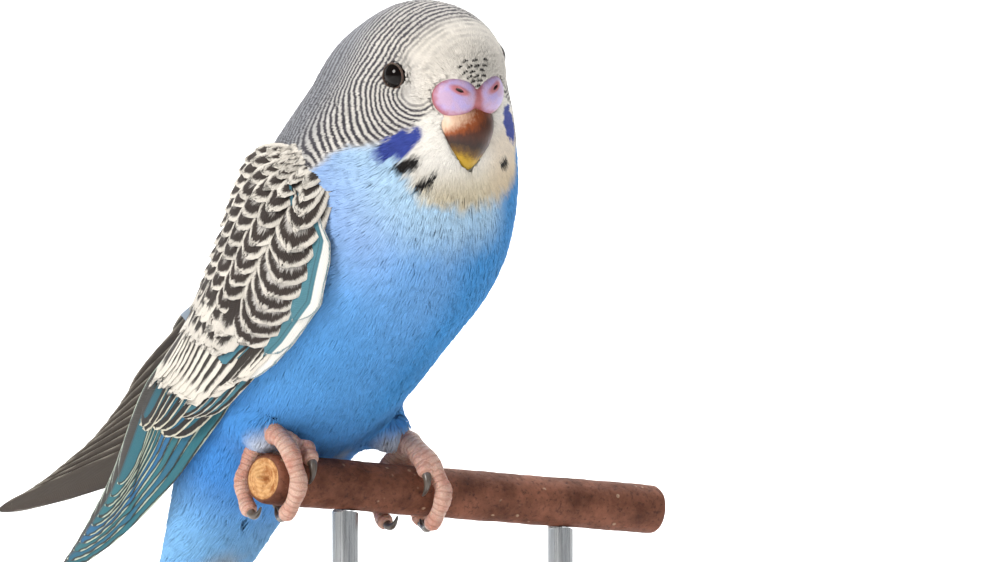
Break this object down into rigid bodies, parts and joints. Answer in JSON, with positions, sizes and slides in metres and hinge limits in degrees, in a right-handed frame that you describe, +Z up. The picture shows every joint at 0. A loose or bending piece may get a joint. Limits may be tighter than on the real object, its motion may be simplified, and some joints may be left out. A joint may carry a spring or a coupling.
{
  "type": "perched bird model",
  "caption": "Life-size still model of a budgerigar gripping a short cut branch, held by a plain flat base with upright rods.",
  "frame": {"origin": "middle of the stand base's underside", "axes": "+Z up, out of the base; +X along the base's longer side, the way the cut branch runs from the bird's right foot"},
  "size_m": [0.128, 0.1158, 0.1806],
  "materials": {
    "barred_plumage": "soft barred feathers",
    "blue_plumage": "soft fine feathers",
    "tail_plumage": "smooth long feathers",
    "wing_plumage": "smooth overlapping feathers",
    "cere_skin": "soft bare skin",
    "bill_horn": "polished horn",
    "eye": "wet and glossy",
    "foot_skin": "scaly skin",
    "claw_horn": "polished horn",
    "bark": "rough bark with a sawn end",
    "base_wood": "satin oiled",
    "rod_steel": "brushed"
  },
  "bodies": {
    "root": {"head": "barred_plumage", "neck": "blue_plumage", "torso": "blue_plumage", "vent": "blue_plumage", "thigh_left": "blue_plumage", "thigh_right": "blue_plumage", "tail": "tail_plumage", "wing_left": "wing_plumage", "wing_right": "wing_plumage", "cere": "cere_skin", "bill_upper": "bill_horn", "bill_lower": "bill_horn", "eye_left": "eye", "eye_right": "eye", "foot_left": "foot_skin", "foot_right": "foot_skin", "claw_left_1": "claw_horn", "claw_left_2": "claw_horn", "claw_left_3": "claw_horn", "claw_left_4": "claw_horn", "claw_right_1": "claw_horn", "claw_right_2": "claw_horn", "claw_right_3": "claw_horn", "claw_right_4": "claw_horn", "perch": "bark", "stand_base": "base_wood", "stand_rod_1": "rod_steel", "stand_rod_2": "rod_steel"}
  },
  "joints": []
}
